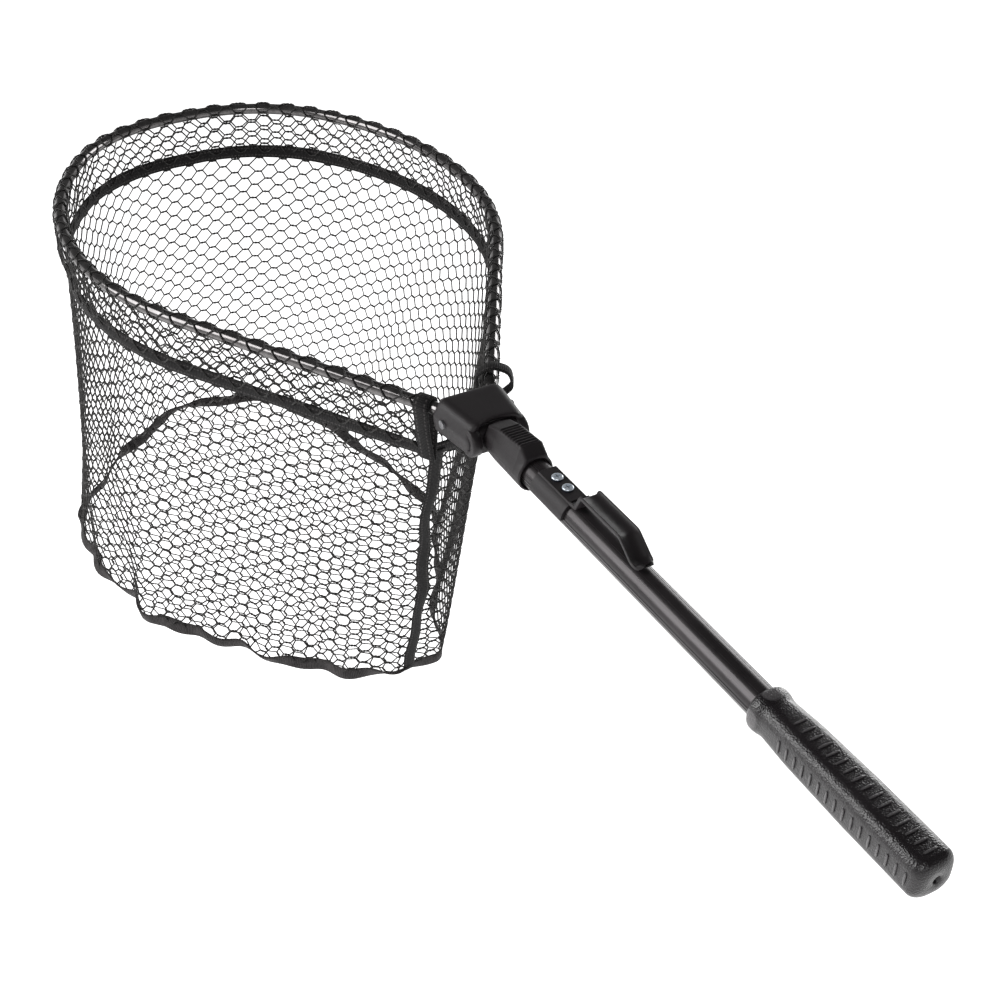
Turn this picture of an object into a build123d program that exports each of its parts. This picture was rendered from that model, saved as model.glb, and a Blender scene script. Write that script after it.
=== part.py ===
"""A folding landing net: tube handle, folding head, hoop and a hanging net bag.

Frame: origin at the butt end of the grip, on the handle's axis.
+X runs from the butt to the hoop's tip, +Z is up, and the hoop lies in Z = 0.
All sizes are in millimetres.
"""

import os
from math import atan2, cos, degrees, radians, sin

from build123d import *

os.makedirs("parts", exist_ok=True)

# Handle tube: a round extrusion with pairs of fine grooves along it
TUBE_R = 11.0
TUBE_BORE_R = 9.4
TUBE_START = 16.0
TUBE_END = 446.0
GROOVE_PAIRS = 6
GROOVE_PAIR_ANGLE = 12.0
GROOVE_WIDTH = 0.7
GROOVE_DEPTH = 0.35
PLUG_LENGTH = 14.0

# Grip: rounded-square moulding pushed over the butt end
GRIP_END = 146.0
GRIP_SIDE = 28.5
GRIP_CORNER_R = 8.0
BUTT_FILLET = 4.5
NECK_START = 129.0
NECK_STEP = 1.2
FLANGE_START = 134.0
FLANGE_SIDE = 31.0
FLANGE_FILLET = 3.0
RIB_COUNT = 16
RIB_FIRST_X = 9.0
RIB_PITCH = 7.1
RIB_SIZE = (1.8, 10.0, 0.9)
BUTT_HOLE_R = 2.6
BUTT_HOLE_DEPTH = 12.0

# Clip saddle and its two screws
SADDLE_START = 350.0
SADDLE_END = 390.0
SADDLE_R = 13.2
SADDLE_TOP = 13.4
SADDLE_FLAT_WIDTH = 14.0
SCREW_X = (363.0, 376.5)
M4_R = 2.0
M4_HEAD_R = 4.1
M4_HEAD_HEIGHT = 2.2
SCREW_SHANK = 7.4
RECESS_LENGTH = 4.6
RECESS_WIDTH = 0.9
RECESS_DEPTH = 1.2

# Belt clip
CLIP_WIDTH = 16.0
CLIP_GAUGE = 2.2
CLIP_PATH = [(349.2, 12.9), (342.0, 13.6), (336.5, 25.4), (291.5, 25.4), (277.5, 15.2), (271.0, 13.4), (266.5, 18.5)]
CLIP_RADII = [3.0, 3.5, 9.0, 5.0, 3.0]

# Lock sleeve
SLEEVE_START = 403.0
SLEEVE_END = 455.0
SLEEVE_WIDTH = 28.8
SLEEVE_BOTTOM = -14.0
SLEEVE_BORE_R = 11.08
SLEEVE_REAR_BORE_R = 12.6
SLEEVE_CORNER_R = 8.0
SLEEVE_REAR_BORE_DEPTH = 5.0
SLEEVE_TOP = [(SLEEVE_START, 13.2), (411.0, 20.2), (440.0, 16.4), (SLEEVE_END, 13.2)]
SLEEVE_GROOVE_COUNT = 7
SLEEVE_GROOVE_PITCH = 4.0
SLEEVE_GROOVE_FIRST = 3.0
SLEEVE_GROOVE_SIZE = (1.7, 17.0, 2.0)

# Knuckle in the tube's front end
KNUCKLE_PLUG_LENGTH = 26.0
KNUCKLE_NECK_R = 10.58
TONGUE_START = SLEEVE_END + 0.6
RIVET_X = TUBE_END - KNUCKLE_PLUG_LENGTH / 2
RIVET_R = 1.6
RIVET_HALF = 10.1

# Head: pivot, cheeks and the sockets for the hoop's ends
PIVOT_X = 460.0
PIVOT_Z = -2.0
PIVOT_R = 3.0
RUNNING_GAP = 0.05
TONGUE_R = 10.6
TONGUE_HALF = 15.3
CHEEK_IN = 15.6
CHEEK_OUT = 22.5
LOBE_R = 11.0
HEAD_REAR = 457.0
HEAD_FRONT = 499.0
HEAD_TOP = 13.2
HEAD_BOTTOM = -11.0
HEAD_WAIST_Z = 2.0
HEAD_REAR_HALVES = (19.6, 24.0, 21.5)
HEAD_FRONT_HALVES = (23.0, 29.0, 27.5)
HEAD_CORNER_R = 4.0
HEAD_REAR_FILLET = 1.0
HEAD_FRONT_FILLET = 3.0
CHANNEL_TOP = 11.3
BUSH_R = 4.6
BUSH_REACH = 4.0
PIN_HEAD_R = 4.9
PIN_HEAD_HEIGHT = 1.4
PIN_RECESS_R = 5.2
PIN_RECESS_DEPTH = 1.8

# Hoop: bent round tube, described by the straight lines it is tangent to
HOOP_R = 5.0
HOOP_BORE_R = 3.8
SOCKET_X = 474.0
ARM_Y = 21.8
ARM_BEND_X = 505.0
SHOULDER = (770.6, 181.0)
NOSE = (941.2, 181.0)
TIP = (1071.5, 79.3)
ARM_BEND_R = 20.0
SHOULDER_R = 264.0
NOSE_R = 274.0
TIP_R = 141.0
ARM_SCREW_X = 486.0
ARM_SCREW_R = 1.6
ARM_SCREW_REACH = 30.0
ARM_SCREW_TIP_Y = 23.0
ARM_SCREW_HEAD_R = 3.4
ARM_SCREW_HEAD_Y = 28.0
ARM_SCREW_HEAD_HEIGHT = 1.8

# Bag: its rings have the hoop's outline, closed across the neck
NECK = (518.0, 23.0)
NECK_CORNER_R = 10.0
SKIRT_TOP = -5.0
SKIRT_TAPE_TOP = -39.0
SKIRT_TAPE_BOTTOM = -51.0
HEM_TOP = -324.0
HEM_BOTTOM = -336.0
DISH_BOTTOM = -351.0
DISH_SHRINK = 0.6
MOUTH_CORNERS = [NECK, SHOULDER, NOSE, TIP] + [(x, -y) for x, y in (TIP, NOSE, SHOULDER, NECK)]
MOUTH_RADII = [NECK_CORNER_R, SHOULDER_R, NOSE_R, TIP_R, TIP_R, NOSE_R, SHOULDER_R, NECK_CORNER_R]
HEM_CORNERS = [(586, 20), (735, 175), (930, 213), (1085, 30), (1045, -55), (955, -98), (800, -130), (586, -28)]
HEM_RADII = [12, 150, 110, 45, 60, 120, 120, 12]
BAG_MIDDLE = (850.0, 40.0)
SEAM_SHARE_TOP = 0.82
SEAM_SHARE_HEM = 0.71
NET_GAUGE = 1.0
TAPE_GAUGE = 1.6
STRAP_WIDTH = 11.0
STRAP_GAUGE = 1.4
BINDING_X = 516.0


def save(builder, name):
    """Label a finished piece and write its STEP file."""
    builder.part.label = name
    export_step(builder.part, f"parts/{name}.step")


def along_x(x):
    """Sketch plane square to the handle at x: local x is +Y and local y is +Z."""
    return Plane.YZ.offset(x)


def along_y(y):
    """Sketch plane square to the pivot pin: local x is +X and local y is +Z."""
    return Plane(origin=(0, y, 0), x_dir=(1, 0, 0), z_dir=(0, -1, 0))


# ---------------------------------------------------------------- handle body

def make_handle_tube():
    """Grooved aluminium tube from inside the grip to the hinge knuckle."""
    with BuildPart() as tube:
        with BuildSketch(along_x(TUBE_START)):
            Circle(TUBE_R)
            Circle(TUBE_BORE_R, mode=Mode.SUBTRACT)
            for start_angle in (-GROOVE_PAIR_ANGLE / 2, GROOVE_PAIR_ANGLE / 2):
                with PolarLocations(TUBE_R, GROOVE_PAIRS, start_angle=start_angle):
                    Rectangle(2 * GROOVE_DEPTH, GROOVE_WIDTH, mode=Mode.SUBTRACT)
        extrude(amount=TUBE_END - TUBE_START)
        for x in SCREW_X:
            with Locations((x, 0, TUBE_R)):
                Cylinder(M4_R, 2 * TUBE_R, mode=Mode.SUBTRACT)
        with BuildSketch(along_y(0)):
            with Locations((RIVET_X, 0)):
                Circle(RIVET_R)
        extrude(amount=TUBE_R, both=True, mode=Mode.SUBTRACT)
    return tube


def make_butt_plug():
    """Plastic plug that closes the tube's rear end, inside the grip."""
    with BuildPart() as plug:
        with BuildSketch(along_x(TUBE_START)):
            Circle(TUBE_BORE_R)
        extrude(amount=PLUG_LENGTH)
        chamfer(plug.edges().sort_by(Axis.X)[-1], 1.0)
    return plug


def make_grip():
    """Rounded-square grip with a narrow neck, a front flange and four rows of ribs."""
    with BuildPart() as grip:
        for start, end, side in ((0, NECK_START, GRIP_SIDE), (FLANGE_START, GRIP_END, FLANGE_SIDE)):
            with BuildSketch(along_x(start)):
                RectangleRounded(side, side, GRIP_CORNER_R)
            extrude(amount=end - start)
        with BuildSketch(along_x(NECK_START)):
            RectangleRounded(GRIP_SIDE - NECK_STEP, GRIP_SIDE - NECK_STEP, GRIP_CORNER_R)
        extrude(amount=FLANGE_START - NECK_START)
        fillet(grip.faces().sort_by(Axis.X)[0].edges(), BUTT_FILLET)
        fillet(grip.faces().sort_by(Axis.X)[-1].edges(), FLANGE_FILLET)
        rib_x = [RIB_FIRST_X + RIB_PITCH * i for i in range(RIB_COUNT)]
        for turn in range(4):
            with Locations(Rotation(90 * turn, 0, 0)):
                with Locations([(x, 0, GRIP_SIDE / 2) for x in rib_x]):
                    Box(RIB_SIZE[0], RIB_SIZE[1], 2 * RIB_SIZE[2])
        with BuildSketch(along_x(TUBE_START)):
            Circle(TUBE_R)
        extrude(amount=GRIP_END - TUBE_START, mode=Mode.SUBTRACT)
        with BuildSketch(along_x(0)):
            Circle(BUTT_HOLE_R)
        extrude(amount=BUTT_HOLE_DEPTH, mode=Mode.SUBTRACT)
    return grip


def make_clip_saddle():
    """Moulded saddle that straddles the upper half of the tube under the two screws."""
    with BuildPart() as saddle:
        with BuildSketch(along_x(SADDLE_START)):
            Circle(SADDLE_R)
            with Locations((0, SADDLE_TOP / 2)):
                Rectangle(SADDLE_FLAT_WIDTH, SADDLE_TOP)
            Circle(TUBE_R, mode=Mode.SUBTRACT)
            with Locations((0, -SADDLE_R)):
                Rectangle(3 * SADDLE_R, 2 * SADDLE_R, mode=Mode.SUBTRACT)
        extrude(amount=SADDLE_END - SADDLE_START)
        fillet(saddle.edges().filter_by(Axis.Y).sort_by(Axis.Z)[-2:], 0.8)
        for x in SCREW_X:
            with Locations((x, 0, TUBE_R)):
                Cylinder(M4_R + 0.2, 2 * TUBE_R, mode=Mode.SUBTRACT)
    return saddle


def make_saddle_screws():
    """Two pan-head screws with a cross recess, down through the saddle into the tube."""
    with BuildPart() as screws:
        for x in SCREW_X:
            with Locations((x, 0, SADDLE_TOP)):
                Cylinder(M4_HEAD_R, M4_HEAD_HEIGHT, align=(Align.CENTER, Align.CENTER, Align.MIN))
                Cylinder(M4_R, SCREW_SHANK, align=(Align.CENTER, Align.CENTER, Align.MAX))
        fillet(screws.edges().group_by(Axis.Z)[-1], 1.0)
        for x in SCREW_X:
            with Locations((x, 0, SADDLE_TOP + M4_HEAD_HEIGHT)):
                Box(RECESS_LENGTH, RECESS_WIDTH, 2 * RECESS_DEPTH, mode=Mode.SUBTRACT)
                Box(RECESS_WIDTH, RECESS_LENGTH, 2 * RECESS_DEPTH, mode=Mode.SUBTRACT)
    return screws


def make_knuckle():
    """Hinge knuckle: a plug in the tube's end, a neck and a rounded tongue on the pin."""
    with BuildPart() as knuckle:
        with BuildSketch(along_x(TUBE_END - KNUCKLE_PLUG_LENGTH)):
            Circle(TUBE_BORE_R)
        extrude(amount=KNUCKLE_PLUG_LENGTH)
        with BuildSketch(along_x(TUBE_END)):
            Circle(KNUCKLE_NECK_R)
        extrude(amount=PIVOT_X - TUBE_END)
        with BuildSketch(along_y(0)):
            with Locations((PIVOT_X, PIVOT_Z)):
                Circle(TONGUE_R)
            with Locations((TONGUE_START - TONGUE_R, 0)):
                Rectangle(2 * TONGUE_R, 4 * TONGUE_R, mode=Mode.SUBTRACT)
        extrude(amount=TONGUE_HALF, both=True)
        with BuildSketch(along_y(0)):
            with Locations((PIVOT_X, PIVOT_Z)):
                Circle(PIVOT_R + RUNNING_GAP)
            with Locations((RIVET_X, 0)):
                Circle(RIVET_R)
        extrude(amount=2 * TONGUE_HALF, both=True, mode=Mode.SUBTRACT)
    return knuckle


def make_knuckle_rivet():
    """Cross rivet that holds the knuckle's plug in the tube, hidden under the sleeve."""
    with BuildPart() as rivet:
        with BuildSketch(along_y(0)):
            with Locations((RIVET_X, 0)):
                Circle(RIVET_R)
        extrude(amount=RIVET_HALF, both=True)
    return rivet


# ------------------------------------------------------------------ clip body

def make_belt_clip():
    """Springy strap that rises from the saddle, runs back and curls at its free end."""
    with BuildPart() as clip:
        with BuildSketch(along_y(0)):
            with BuildLine():
                FilletPolyline(*CLIP_PATH, radius=CLIP_RADII)
            trace(line_width=CLIP_GAUGE)
        extrude(amount=CLIP_WIDTH / 2, both=True)
    return clip


# ---------------------------------------------------------------- sleeve body

def make_lock_sleeve():
    """Thumb sleeve that slides on the tube, humped and grooved on top."""
    length = SLEEVE_END - SLEEVE_START
    with BuildPart() as sleeve:
        height = SLEEVE_TOP[1][1] - SLEEVE_BOTTOM
        with BuildSketch(Plane(origin=(SLEEVE_START, 0, SLEEVE_BOTTOM + height / 2), x_dir=(0, 1, 0), z_dir=(1, 0, 0))):
            RectangleRounded(SLEEVE_WIDTH, height, SLEEVE_CORNER_R)
        extrude(amount=length)
        with BuildSketch(along_y(0)):
            with BuildLine():
                above = 2 * SLEEVE_TOP[1][1]
                Polyline((SLEEVE_START, above), *SLEEVE_TOP, (SLEEVE_END, above), close=True)
            make_face()
        extrude(amount=SLEEVE_WIDTH, both=True, mode=Mode.SUBTRACT)
        rear, front = SLEEVE_TOP[1], SLEEVE_TOP[2]
        slope = degrees(atan2(rear[1] - front[1], front[0] - rear[0]))
        for i in range(SLEEVE_GROOVE_COUNT):
            step = SLEEVE_GROOVE_FIRST + SLEEVE_GROOVE_PITCH * i
            at = (rear[0] + step * cos(radians(slope)), 0, rear[1] - step * sin(radians(slope)))
            with Locations(Location(at, (0, slope, 0))):
                Box(*SLEEVE_GROOVE_SIZE, mode=Mode.SUBTRACT)
        with BuildSketch(along_x(SLEEVE_START)):
            Circle(SLEEVE_BORE_R)
        extrude(amount=length, mode=Mode.SUBTRACT)
        with BuildSketch(along_x(SLEEVE_START)):
            Circle(SLEEVE_REAR_BORE_R)
        extrude(amount=SLEEVE_REAR_BORE_DEPTH, mode=Mode.SUBTRACT)
    return sleeve


# ------------------------------------------------------------------ head body

def head_section(x, top_half, waist_half, bottom_half):
    """Six-sided section of the head at x, widest at its waist."""
    with BuildSketch(along_x(x)) as section:
        with BuildLine():
            Polyline((top_half, HEAD_TOP), (waist_half, HEAD_WAIST_Z), (bottom_half, HEAD_BOTTOM),
                     (-bottom_half, HEAD_BOTTOM), (-waist_half, HEAD_WAIST_Z), (-top_half, HEAD_TOP), close=True)
        make_face()
        fillet(section.vertices(), HEAD_CORNER_R)
    return section.sketch


def make_head_block():
    """Inverted channel that folds on the pivot pin; its cheeks hold the hoop's two ends."""
    with BuildPart() as head:
        loft([head_section(HEAD_REAR, *HEAD_REAR_HALVES), head_section(HEAD_FRONT, *HEAD_FRONT_HALVES)])
        fillet(head.faces().sort_by(Axis.X)[-1].edges(), HEAD_FRONT_FILLET)
        fillet(head.faces().sort_by(Axis.X)[0].edges(), HEAD_REAR_FILLET)
        with BuildSketch(along_y(0)):
            with Locations((PIVOT_X, PIVOT_Z)):
                Circle(LOBE_R)
        extrude(amount=CHEEK_OUT, both=True)
        with Locations((PIVOT_X, 0, CHANNEL_TOP)):
            Box(2 * (HEAD_FRONT - PIVOT_X + LOBE_R), 2 * CHEEK_IN, 4 * LOBE_R,
                align=(Align.CENTER, Align.CENTER, Align.MAX), mode=Mode.SUBTRACT)
        for side in (1, -1):
            with BuildSketch(along_x(SOCKET_X)):
                with Locations((side * ARM_Y, 0)):
                    Circle(HOOP_R)
            extrude(amount=HEAD_FRONT - SOCKET_X, mode=Mode.SUBTRACT)
        for y, radius, reach in ((0, PIVOT_R, CHEEK_OUT), (CHEEK_IN, BUSH_R, BUSH_REACH), (-CHEEK_IN, BUSH_R, BUSH_REACH)):
            with BuildSketch(along_y(y)):
                with Locations((PIVOT_X, PIVOT_Z)):
                    Circle(radius)
            extrude(amount=reach, both=True, mode=Mode.SUBTRACT)
        for side in (1, -1):
            with BuildSketch(along_y(side * CHEEK_OUT)):
                with Locations((PIVOT_X, PIVOT_Z)):
                    Circle(PIN_RECESS_R)
            extrude(amount=PIN_RECESS_DEPTH, both=True, mode=Mode.SUBTRACT)
            with BuildSketch(along_y(side * ARM_SCREW_REACH)):
                with Locations((ARM_SCREW_X, 0)):
                    Circle(ARM_SCREW_R + 0.1)
            extrude(amount=side * (ARM_SCREW_REACH - ARM_Y), mode=Mode.SUBTRACT)
    return head


def make_pivot_pin():
    """Steel pin with a flat head in a recess at each end."""
    with BuildPart() as pin:
        with BuildSketch(along_y(0)):
            with Locations((PIVOT_X, PIVOT_Z)):
                Circle(PIVOT_R)
        extrude(amount=CHEEK_OUT - PIN_RECESS_DEPTH, both=True)
        for side in (1, -1):
            with BuildSketch(along_y(side * (CHEEK_OUT - PIN_RECESS_DEPTH + PIN_HEAD_HEIGHT / 2))):
                with Locations((PIVOT_X, PIVOT_Z)):
                    Circle(PIN_HEAD_R)
            extrude(amount=PIN_HEAD_HEIGHT / 2, both=True)
    return pin


def make_pivot_bushes():
    """Two bushes pressed into the cheeks, round the pin."""
    with BuildPart() as bushes:
        for side in (1, -1):
            with BuildSketch(along_y(side * (CHEEK_IN + BUSH_REACH / 2))):
                with Locations((PIVOT_X, PIVOT_Z)):
                    Circle(BUSH_R)
                    Circle(PIVOT_R, mode=Mode.SUBTRACT)
            extrude(amount=BUSH_REACH / 2, both=True)
    return bushes


def hoop_vertices():
    """Corners of the hoop's tangent polygon from one socket round to the other."""
    half = [(SOCKET_X, ARM_Y), (ARM_BEND_X, ARM_Y), SHOULDER, NOSE, TIP]
    return half + [(x, -y) for x, y in reversed(half)]


def make_hoop_tube():
    """Bent aluminium tube: two splayed arms, wide shoulders and a blunt round nose."""
    radii = [ARM_BEND_R, SHOULDER_R, NOSE_R, TIP_R]
    with BuildPart() as hoop:
        with BuildLine():
            path = FilletPolyline(*hoop_vertices(), radius=radii + radii[::-1])
        with BuildSketch(Plane(origin=path @ 0, x_dir=(0, 1, 0), z_dir=path % 0)):
            Circle(HOOP_R)
            Circle(HOOP_BORE_R, mode=Mode.SUBTRACT)
        sweep()
        for side in (1, -1):
            with BuildSketch(along_y(side * ARM_SCREW_REACH)):
                with Locations((ARM_SCREW_X, 0)):
                    Circle(ARM_SCREW_R)
            extrude(amount=side * (ARM_SCREW_REACH - ARM_Y), mode=Mode.SUBTRACT)
    return hoop


def make_arm_screws():
    """A small pan-head screw from each side, through the cheek into the hoop's end."""
    with BuildPart() as screws:
        for side in (1, -1):
            with BuildSketch(along_y(side * ARM_SCREW_TIP_Y)):
                with Locations((ARM_SCREW_X, 0)):
                    Circle(ARM_SCREW_R)
            extrude(amount=-side * (ARM_SCREW_HEAD_Y - ARM_SCREW_TIP_Y))
            with BuildSketch(along_y(side * ARM_SCREW_HEAD_Y)):
                with Locations((ARM_SCREW_X, 0)):
                    Circle(ARM_SCREW_HEAD_R)
            extrude(amount=-side * ARM_SCREW_HEAD_HEIGHT)
    return screws


def bag_ring(depth, inset, shrink=1.0):
    """Closed outline of the bag at a depth, moved inwards by inset and scaled about its middle.

    Down to the skirt tape it is the hoop's outline, and from the hem down it is the hem's.
    """
    at_mouth = depth >= SKIRT_TAPE_BOTTOM
    corners, radii = (MOUTH_CORNERS, MOUTH_RADII) if at_mouth else (HEM_CORNERS, HEM_RADII)
    x0, y0 = BAG_MIDDLE
    corners = [(x0 + shrink * (x - x0), y0 + shrink * (y - y0)) for x, y in corners]
    with BuildSketch(Plane.XY.offset(depth)) as ring:
        with BuildLine():
            FilletPolyline(*corners, radius=[shrink * r for r in radii], close=True)
        make_face()
        if inset:
            offset(amount=-inset)
    return ring.sketch


def make_band(top, bottom, gauge):
    """Thin closed band of the bag between two heights."""
    with BuildPart() as band:
        loft([bag_ring(top, 0), bag_ring(bottom, 0)], ruled=True)
        loft([bag_ring(top, gauge), bag_ring(bottom, gauge)], ruled=True, mode=Mode.SUBTRACT)
    return band


def make_bottom_net():
    """Shallow dish of net that closes the bag below the hem."""
    with BuildPart() as dish:
        rim, floor = bag_ring(HEM_BOTTOM, 0), bag_ring(DISH_BOTTOM, 0, DISH_SHRINK)
        loft([rim, floor], ruled=True)
        rim, floor = bag_ring(HEM_BOTTOM, NET_GAUGE), bag_ring(DISH_BOTTOM + NET_GAUGE, NET_GAUGE, DISH_SHRINK)
        loft([rim, floor], ruled=True, mode=Mode.SUBTRACT)
    return dish


def seam_plane(depth, right, left, share):
    """Plane at a depth, centred just outside the bag's neck side, a share of the way from right to left."""
    run = Vector(left[0] - right[0], left[1] - right[1], 0)
    along = run.normalized()
    out = Vector(-along.Y, along.X, 0)
    origin = Vector(right[0], right[1], depth) + run * share + out * (STRAP_GAUGE / 2)
    return Plane(origin=origin, x_dir=along, z_dir=(0, 0, 1))


def make_seam_tape():
    """Webbing strip sewn over the wall's closing seam, from the skirt tape to the hem."""
    ends = ((SKIRT_TAPE_BOTTOM, MOUTH_CORNERS, SEAM_SHARE_TOP), (HEM_TOP, HEM_CORNERS, SEAM_SHARE_HEM))
    with BuildPart() as tape:
        for depth, corners, share in ends:
            with BuildSketch(seam_plane(depth, corners[-1], corners[0], share)):
                Rectangle(STRAP_WIDTH, STRAP_GAUGE)
        loft(ruled=True)
    return tape


def make_binding(side):
    """Webbing loop round one hoop arm, with its tail sewn outside the skirt."""
    slope = atan2(SHOULDER[1] - ARM_Y, SHOULDER[0] - ARM_BEND_X)
    arm_y = ARM_Y + (BINDING_X - ARM_BEND_X) * sin(slope) / cos(slope)
    centre = Vector(BINDING_X, side * arm_y, 0)
    run = Vector(cos(slope), side * sin(slope), 0)
    outward = Vector(-sin(slope), side * cos(slope), 0)
    ring_plane = Plane(origin=centre - run * STRAP_WIDTH / 2, x_dir=outward, z_dir=run)
    tail_x = HOOP_R + STRAP_GAUGE / 2
    tail_sign = 1 if ring_plane.y_dir.Z < 0 else -1
    with BuildPart() as binding:
        with BuildSketch(ring_plane):
            Circle(HOOP_R + STRAP_GAUGE)
            with Locations((tail_x, -tail_sign * SKIRT_TAPE_TOP / 2)):
                Rectangle(STRAP_GAUGE, -SKIRT_TAPE_TOP)
            Circle(HOOP_R, mode=Mode.SUBTRACT)
        extrude(amount=STRAP_WIDTH)
    return binding


save(make_grip(), "grip")
save(make_butt_plug(), "butt_plug")
save(make_handle_tube(), "handle_tube")
save(make_clip_saddle(), "clip_saddle")
save(make_saddle_screws(), "saddle_screws")
save(make_knuckle(), "knuckle")
save(make_knuckle_rivet(), "knuckle_rivet")
save(make_belt_clip(), "belt_clip")
save(make_lock_sleeve(), "lock_sleeve")
save(make_head_block(), "head_block")
save(make_pivot_pin(), "pivot_pin")
save(make_pivot_bushes(), "pivot_bushes")
save(make_hoop_tube(), "hoop_tube")
save(make_arm_screws(), "arm_screws")
save(make_band(SKIRT_TOP, SKIRT_TAPE_TOP, NET_GAUGE), "skirt_net")
save(make_band(SKIRT_TAPE_TOP, SKIRT_TAPE_BOTTOM, TAPE_GAUGE), "skirt_tape")
save(make_band(SKIRT_TAPE_BOTTOM, HEM_TOP, NET_GAUGE), "wall_net")
save(make_band(HEM_TOP, HEM_BOTTOM, TAPE_GAUGE), "hem_tape")
save(make_bottom_net(), "bottom_net")
save(make_seam_tape(), "seam_tape")
save(make_binding(1), "binding_left")
save(make_binding(-1), "binding_right")
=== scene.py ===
"""The looks of a folding landing net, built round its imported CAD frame. Sizes are in metres."""
from math import cos, pi, radians, sin

import bmesh
import bpy
import numpy as np
from mathutils import Euler, Matrix, Vector


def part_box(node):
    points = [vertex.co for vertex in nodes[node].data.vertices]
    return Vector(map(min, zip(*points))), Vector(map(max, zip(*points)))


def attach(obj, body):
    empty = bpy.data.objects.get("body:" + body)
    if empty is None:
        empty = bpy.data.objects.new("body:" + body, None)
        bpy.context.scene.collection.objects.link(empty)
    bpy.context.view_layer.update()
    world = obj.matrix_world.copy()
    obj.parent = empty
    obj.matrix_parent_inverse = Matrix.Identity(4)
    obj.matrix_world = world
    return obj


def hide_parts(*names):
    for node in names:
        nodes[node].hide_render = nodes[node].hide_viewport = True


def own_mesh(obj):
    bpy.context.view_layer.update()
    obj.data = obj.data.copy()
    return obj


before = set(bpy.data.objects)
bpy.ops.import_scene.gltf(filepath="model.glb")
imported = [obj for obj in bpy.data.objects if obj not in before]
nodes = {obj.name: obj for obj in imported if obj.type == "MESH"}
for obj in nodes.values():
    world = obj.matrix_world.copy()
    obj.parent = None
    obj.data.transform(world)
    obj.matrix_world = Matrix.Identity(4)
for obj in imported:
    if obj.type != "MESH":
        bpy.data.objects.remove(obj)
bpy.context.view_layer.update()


# ---- Studio ----
# The net is held out level above a plain pale floor, between soft lamps left, right and behind.
# The camera stands behind the grip, to the left of and above the handle.

FLOOR_DEPTH = 0.62
FLOOR_SIZE = 30.0
ROOM_SHADES = ((0.0, 1.0), (0.13, 0.85), (0.28, 0.13), (0.90, 0.07))


def add_material(name):
    """A new material with its Principled shader, and that shader."""
    material = bpy.data.materials.new(name)
    material.use_nodes = True
    return material, material.node_tree.nodes["Principled BSDF"]


floor_mesh = bpy.data.meshes.new("floor")
half = FLOOR_SIZE / 2
floor_mesh.from_pydata([(-half, -half, -FLOOR_DEPTH), (half, -half, -FLOOR_DEPTH),
                        (half, half, -FLOOR_DEPTH), (-half, half, -FLOOR_DEPTH)], [], [(0, 1, 2, 3)])
floor = bpy.data.objects.new("floor", floor_mesh)
bpy.context.scene.collection.objects.link(floor)
floor_paint, floor_shader = add_material("pale_floor")
floor_shader.inputs["Base Color"].default_value = (0.93, 0.93, 0.93, 1)
floor_shader.inputs["Roughness"].default_value = 0.9
floor_shader.inputs["Emission Color"].default_value = (1, 1, 1, 1)
floor_shader.inputs["Emission Strength"].default_value = 0.85
floor_mesh.materials.append(floor_paint)

world = bpy.data.worlds.new("soft_room")
bpy.context.scene.world = world
world.use_nodes = True
background = world.node_tree.nodes["Background"]
direction = world.node_tree.nodes.new("ShaderNodeTexCoord")
height = world.node_tree.nodes.new("ShaderNodeSeparateXYZ")
walls = world.node_tree.nodes.new("ShaderNodeValToRGB")
walls.color_ramp.elements.new(0.2)
walls.color_ramp.elements.new(0.3)
for stop, (height_share, shade) in zip(walls.color_ramp.elements, ROOM_SHADES):
    stop.position = height_share
    stop.color = (shade, shade, shade, 1)
world.node_tree.links.new(direction.outputs["Generated"], height.inputs[0])
world.node_tree.links.new(height.outputs["Z"], walls.inputs["Fac"])
world.node_tree.links.new(walls.outputs["Color"], background.inputs["Color"])
bpy.context.scene.view_settings.view_transform = "Standard"


def add_lamp(name, place, target, size, watts):
    """A square area lamp at a place, turned to face a target."""
    data = bpy.data.lights.new(name, "AREA")
    data.size = size
    data.energy = watts
    lamp = bpy.data.objects.new(name, data)
    lamp.location = place
    lamp.rotation_euler = (Vector(target) - Vector(place)).to_track_quat("-Z", "Y").to_euler()
    bpy.context.scene.collection.objects.link(lamp)


add_lamp("lamp_left", (1.3, 1.7, 0.95), (0.4, 0, 0), 1.3, 40)
add_lamp("lamp_right", (1.2, -1.9, 0.35), (0.4, 0, 0), 1.0, 22)
add_lamp("lamp_behind", (-1.4, 1.0, 1.3), (0.3, 0, 0), 0.8, 14)

CAMERA_PLACE = (-0.3448, 0.4826, 0.6464)
CAMERA_AZIMUTH = -121.3
CAMERA_ELEVATION = 37.0
CAMERA_ROLL = 2.15

camera_data = bpy.data.cameras.new("camera")
camera_data.sensor_width = 36.0
camera_data.lens = 57.3
camera_data.clip_start = 0.02
camera = bpy.data.objects.new("camera", camera_data)
turn = Euler((0, 0, radians(CAMERA_AZIMUTH))).to_matrix()
tilt = Euler((radians(90 - CAMERA_ELEVATION), 0, 0)).to_matrix()
roll = Euler((0, 0, radians(CAMERA_ROLL))).to_matrix()
camera.matrix_world = Matrix.Translation(CAMERA_PLACE) @ (turn @ tilt @ roll).to_4x4()
bpy.context.scene.collection.objects.link(camera)
bpy.context.scene.camera = camera


# ---- Handle tube ----
# One grooved aluminium extrusion, anodised satin black. It is pushed into the grip at the rear
# and holds the hinge knuckle at the front. Its shape is the CAD one.

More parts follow.
